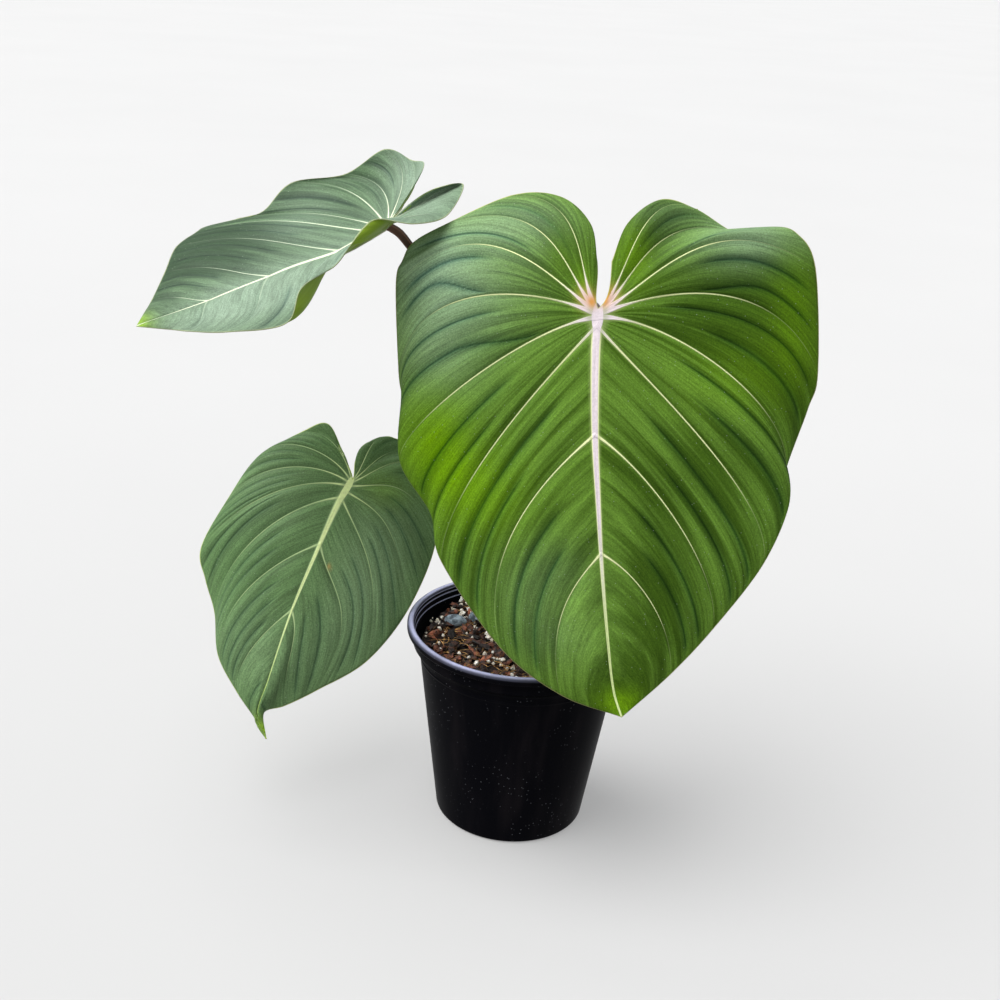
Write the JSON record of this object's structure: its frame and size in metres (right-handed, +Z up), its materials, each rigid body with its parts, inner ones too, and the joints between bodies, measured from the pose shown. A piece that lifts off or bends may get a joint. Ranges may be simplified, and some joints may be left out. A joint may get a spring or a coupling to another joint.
{
  "type": "potted philodendron gloriosum",
  "caption": "Creeping philodendron with large heart-shaped, pale-veined leaves on arching stalks, growing in a tapered black nursery pot.",
  "frame": {"origin": "centre of the pot's underside, on the surface it stands on", "axes": "+Z up; -Y towards the side that the large leaf faces; +X to that viewer's right"},
  "size_m": [0.3993, 0.1931, 0.4474],
  "materials": {
    "pot": "smooth black polypropylene with a soft sheen and fine dust",
    "soil": "damp chunky mix of bark, coir and perlite, matt",
    "rhizome": "green stem with brown leaf scars, slightly rough",
    "petiole": "reddish brown stalk with pale lines, satin",
    "leaf_front": "velvety green blade with pale veins and translucent edges",
    "leaf_left": "velvety grey-green blade with pale veins and a silvery sheen"
  },
  "bodies": {
    "root": {"pot": "pot", "soil": "soil", "rhizome": "rhizome", "petiole_front_leaf": "petiole", "petiole_upper_left_leaf": "petiole", "petiole_lower_left_leaf": "petiole", "leaf_front": "leaf_front", "leaf_upper_left": "leaf_left", "leaf_lower_left": "leaf_left"}
  },
  "joints": []
}
